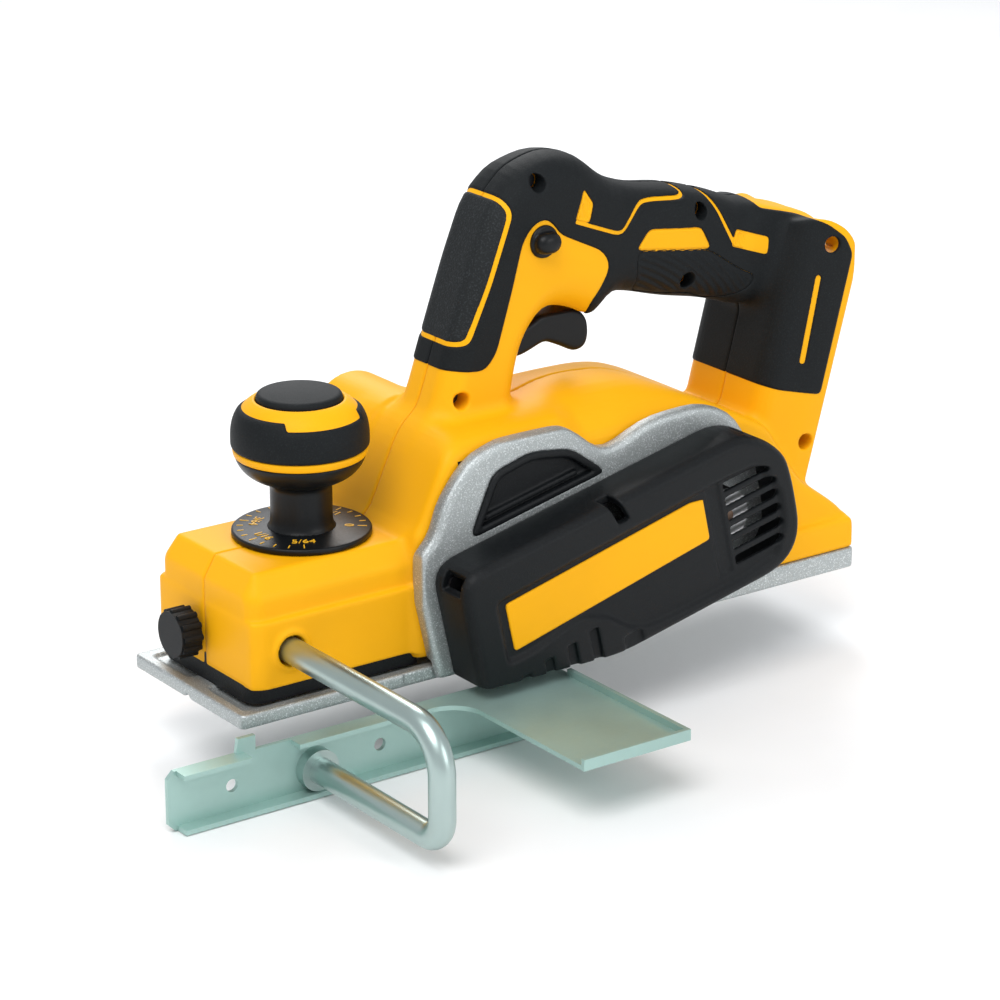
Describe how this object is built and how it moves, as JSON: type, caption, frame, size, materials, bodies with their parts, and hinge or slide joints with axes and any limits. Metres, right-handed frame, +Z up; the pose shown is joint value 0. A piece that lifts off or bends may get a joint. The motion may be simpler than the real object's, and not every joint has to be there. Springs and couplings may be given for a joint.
{
  "type": "electric hand planer",
  "caption": "Cordless electric hand planer with a belt-driven cutter drum, depth knob, closed rear handle and a side fence on a bent rod.",
  "frame": {"origin": "centre of the sole's length and width, on the underside of the rear shoe", "axes": "+X towards the rear, battery end; +Y away from the belt cover; +Z up from the sole"},
  "size_m": [0.3655, 0.2079, 0.2329],
  "materials": {
    "housing_yellow": "fine moulded grain",
    "grip_rubber": "textured",
    "black_plastic": "fine moulded grain",
    "cast_aluminium": "bead-blasted casting",
    "machined_aluminium": "turned",
    "zinc_steel": "zinc plated",
    "blade_steel": "ground",
    "blackened_steel": "black oxide",
    "brass": "turned",
    "laminated_core": "varnished laminations",
    "belt_rubber": "ribbed",
    "board_green": "coated board",
    "wire_red": "insulated wire",
    "trim_yellow": "smooth moulded"
  },
  "bodies": {
    "planer_body": {"base_frame": "cast_aluminium", "housing_left": "housing_yellow", "housing_right": "housing_yellow", "grip_left": "grip_rubber", "grip_right": "grip_rubber", "leg_pad": "grip_rubber", "palm_pads": "grip_rubber", "grip_inlays": "trim_yellow", "belt_cover": "black_plastic", "cover_badge": "trim_yellow", "cover_screws": "blackened_steel", "drive_belt": "belt_rubber", "chip_chute": "black_plastic", "chip_port_cover": "black_plastic", "motor_stator": "laminated_core", "motor_bearings": "machined_aluminium", "drum_bearings": "machined_aluminium", "bearing_caps": "machined_aluminium", "control_module": "board_green", "switch_unit": "black_plastic", "battery_terminals": "black_plastic", "terminal_blades": "brass", "housing_screws": "blackened_steel", "fence_insert": "brass", "wire_harness": "wire_red", "kickstand_pin": "zinc_steel", "trigger_pin": "zinc_steel"},
    "front_shoe": {"front_shoe": "cast_aluminium", "front_skirt": "black_plastic", "shoe_nut": "brass"},
    "depth_knob": {"knob_core": "black_plastic", "knob_rings": "trim_yellow", "knob_grip": "grip_rubber", "knob_cap": "grip_rubber", "depth_dial": "black_plastic", "depth_screw": "zinc_steel"},
    "cutter": {"cutter_drum": "machined_aluminium", "cutter_blades": "blade_steel", "blade_clamps": "blackened_steel", "clamp_screws": "blackened_steel", "driven_pulley": "machined_aluminium"},
    "rotor": {"motor_rotor": "laminated_core", "cooling_fan": "black_plastic", "drive_pulley": "machined_aluminium"},
    "trigger": {"trigger": "black_plastic"},
    "lock_button": {"lock_off_button": "black_plastic"},
    "fence": {"fence_plate": "zinc_steel", "fence_rod": "zinc_steel"},
    "fence_lock": {"fence_knob": "black_plastic", "fence_knob_shank": "zinc_steel"},
    "kickstand": {"kickstand": "black_plastic"}
  },
  "joints": [
    {"name": "depth_knob_turn", "type": "hinge", "parent": "planer_body", "child": "depth_knob", "pos_m": [-0.1035, 0, 0.09], "axis": [0, 0, 1], "range_deg": [0, 275]},
    {"name": "front_shoe_rise", "type": "slide", "parent": "planer_body", "child": "front_shoe", "axis": [0, 0, 1], "range_m": [0, 0.002]},
    {"name": "cutter_spin", "type": "hinge", "parent": "planer_body", "child": "cutter", "pos_m": [-0.025, 0, 0.027], "axis": [0, -1, 0], "continuous": true},
    {"name": "rotor_spin", "type": "hinge", "parent": "planer_body", "child": "rotor", "pos_m": [0.06861, 0, 0.04827], "axis": [0, -1, 0], "continuous": true},
    {"name": "trigger_pull", "type": "hinge", "parent": "planer_body", "child": "trigger", "pos_m": [-0.009, 0, 0.121], "axis": [0, -1, 0], "range_deg": [0, 10], "stiffness_Nm_per_rad": 0.8, "springref_deg": -8.59},
    {"name": "lock_button_push", "type": "slide", "parent": "planer_body", "child": "lock_button", "axis": [0, 1, 0], "range_m": [-0.0035, 0.0035], "stiffness_N_per_m": 600},
    {"name": "fence_slide", "type": "slide", "parent": "planer_body", "child": "fence", "axis": [0, 1, 0], "range_m": [-0.05, 0.085]},
    {"name": "fence_lock_turn", "type": "hinge", "parent": "planer_body", "child": "fence_lock", "pos_m": [-0.16, 0.005, 0.027], "axis": [-1, 0, 0], "range_deg": [0, 360]},
    {"name": "kickstand_swing", "type": "hinge", "parent": "planer_body", "child": "kickstand", "pos_m": [0.099, 0.027, 0.005], "axis": [0, 1, 0], "range_deg": [0, 75]}
  ],
  "couplings": [
    {"joint": "depth_knob_turn", "follows": "front_shoe_rise", "rad_per_m": 2399},
    {"joint": "rotor_spin", "follows": "cutter_spin", "ratio": 1.7}
  ]
}
